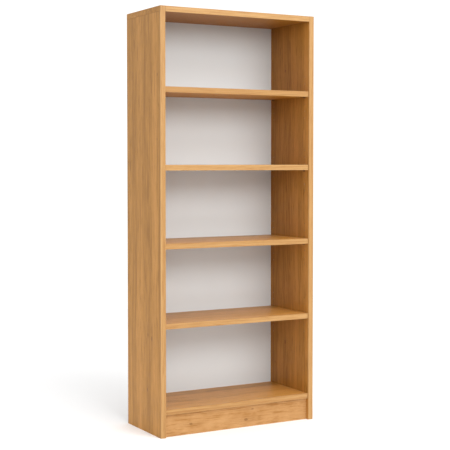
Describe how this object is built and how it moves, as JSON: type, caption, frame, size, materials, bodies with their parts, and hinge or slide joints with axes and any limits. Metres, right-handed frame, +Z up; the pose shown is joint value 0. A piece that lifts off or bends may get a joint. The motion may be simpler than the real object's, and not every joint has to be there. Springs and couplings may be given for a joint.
{
  "type": "bookcase with adjustable shelves",
  "caption": "Tall open-fronted bookcase in oak laminate with adjustable shelves on pins, a fixed bottom panel on a plinth and a pale back.",
  "frame": {"origin": "on the floor under the middle of the case, half way across its width and its depth", "axes": "+X to the right as seen from the front, +Y from front to back, +Z up; the open front faces -Y"},
  "size_m": [0.8, 0.35, 1.9],
  "materials": {
    "oak_laminate": "satin",
    "oak_edge": "satin",
    "pale_hardboard": "matte",
    "beech_dowel": "matte",
    "bronzed_pin": "satin",
    "zinc_screw": "satin"
  },
  "bodies": {
    "carcass": {"left_side": "oak_laminate", "right_side": "oak_laminate", "top_panel": "oak_laminate", "bottom_panel": "oak_laminate", "kick_plate": "oak_laminate", "back_panel": "pale_hardboard", "left_front_strip": "oak_edge", "right_front_strip": "oak_edge", "top_front_strip": "oak_edge", "bottom_front_strip": "oak_edge", "top_dowels": "beech_dowel", "bottom_left_dowels": "beech_dowel", "bottom_right_dowels": "beech_dowel", "kick_left_dowels": "beech_dowel", "kick_right_dowels": "beech_dowel", "kick_top_dowels": "beech_dowel", "back_panel_screws": "zinc_screw"},
    "shelf_1_pins": {"shelf_1_pins": "bronzed_pin"},
    "shelf_1": {"shelf_1": "oak_laminate", "shelf_1_front_strip": "oak_edge"},
    "shelf_2_pins": {"shelf_2_pins": "bronzed_pin"},
    "shelf_2": {"shelf_2": "oak_laminate", "shelf_2_front_strip": "oak_edge"},
    "shelf_3_pins": {"shelf_3_pins": "bronzed_pin"},
    "shelf_3": {"shelf_3": "oak_laminate", "shelf_3_front_strip": "oak_edge"},
    "shelf_4_pins": {"shelf_4_pins": "bronzed_pin"},
    "shelf_4": {"shelf_4": "oak_laminate", "shelf_4_front_strip": "oak_edge"}
  },
  "joints": [
    {"name": "shelf_1_height", "type": "slide", "parent": "carcass", "child": "shelf_1_pins", "axis": [0, 0, 1], "range_m": [-0.096, 0.096]},
    {"name": "shelf_1_pull_out", "type": "slide", "parent": "shelf_1_pins", "child": "shelf_1", "axis": [0, -1, 0], "range_m": [0, 0.13]},
    {"name": "shelf_2_height", "type": "slide", "parent": "carcass", "child": "shelf_2_pins", "axis": [0, 0, 1], "range_m": [-0.096, 0.096]},
    {"name": "shelf_2_pull_out", "type": "slide", "parent": "shelf_2_pins", "child": "shelf_2", "axis": [0, -1, 0], "range_m": [0, 0.13]},
    {"name": "shelf_3_height", "type": "slide", "parent": "carcass", "child": "shelf_3_pins", "axis": [0, 0, 1], "range_m": [-0.096, 0.096]},
    {"name": "shelf_3_pull_out", "type": "slide", "parent": "shelf_3_pins", "child": "shelf_3", "axis": [0, -1, 0], "range_m": [0, 0.13]},
    {"name": "shelf_4_height", "type": "slide", "parent": "carcass", "child": "shelf_4_pins", "axis": [0, 0, 1], "range_m": [-0.096, 0.096]},
    {"name": "shelf_4_pull_out", "type": "slide", "parent": "shelf_4_pins", "child": "shelf_4", "axis": [0, -1, 0], "range_m": [0, 0.13]}
  ]
}
